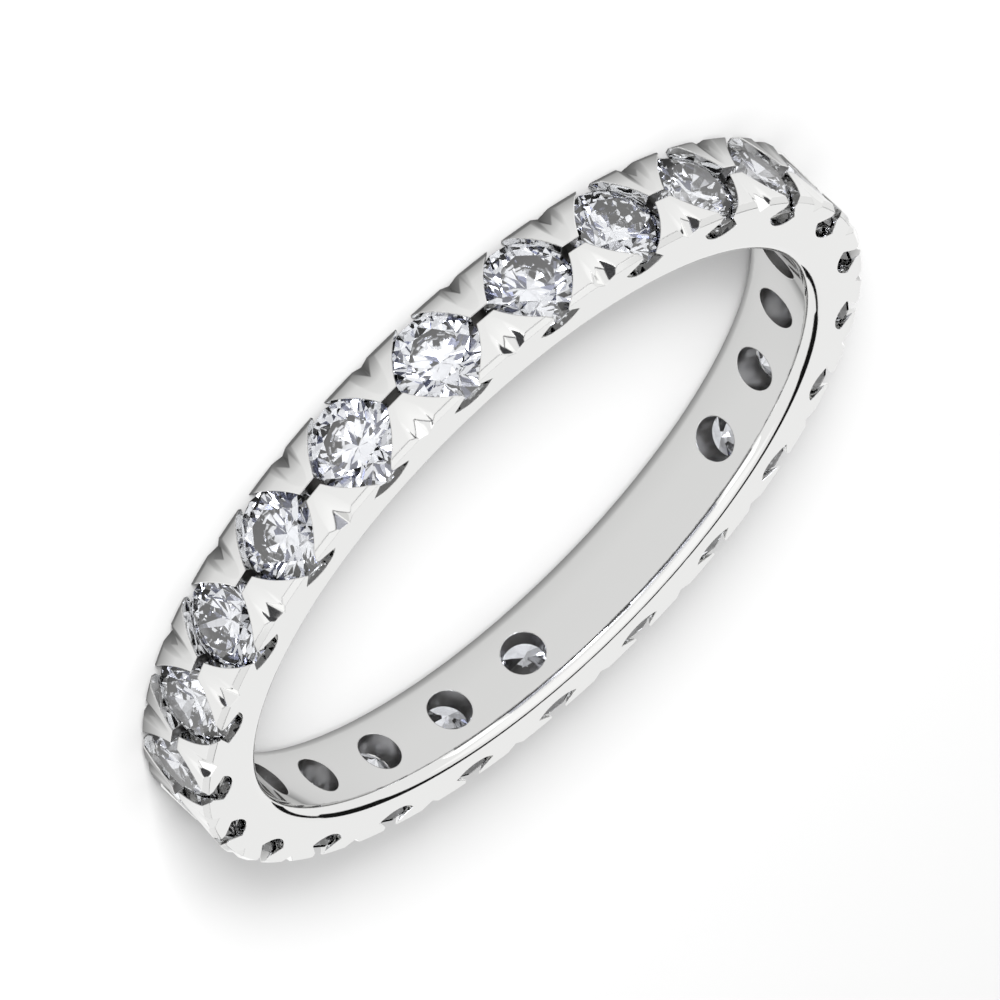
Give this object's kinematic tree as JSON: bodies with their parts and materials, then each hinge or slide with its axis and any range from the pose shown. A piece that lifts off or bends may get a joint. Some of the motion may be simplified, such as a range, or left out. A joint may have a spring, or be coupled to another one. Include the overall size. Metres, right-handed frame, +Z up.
{
  "type": "eternity ring",
  "caption": "Full eternity band in polished white metal, pierced through to a finger bore with rounded edges, with round brilliants fishtail set all round its outer face between paired prongs.",
  "frame": {"origin": "on the finger axis, at the level of the lower side face that the ring lies on", "axes": "+Z up along the finger axis; X and Y across the ring, with the blank stretch of the bore near +Y"},
  "size_m": [0.0196, 0.0196, 0.0022],
  "materials": {
    "white_gold": "mirror polished",
    "diamond": "faceted and polished"
  },
  "bodies": {
    "root": {"band": "white_gold", "stone_01": "diamond", "stone_02": "diamond", "stone_03": "diamond", "stone_04": "diamond", "stone_05": "diamond", "stone_06": "diamond", "stone_07": "diamond", "stone_08": "diamond", "stone_09": "diamond", "stone_10": "diamond", "stone_11": "diamond", "stone_12": "diamond", "stone_13": "diamond", "stone_14": "diamond", "stone_15": "diamond", "stone_16": "diamond", "stone_17": "diamond", "stone_18": "diamond", "stone_19": "diamond", "stone_20": "diamond", "stone_21": "diamond", "stone_22": "diamond", "stone_23": "diamond"}
  },
  "joints": []
}
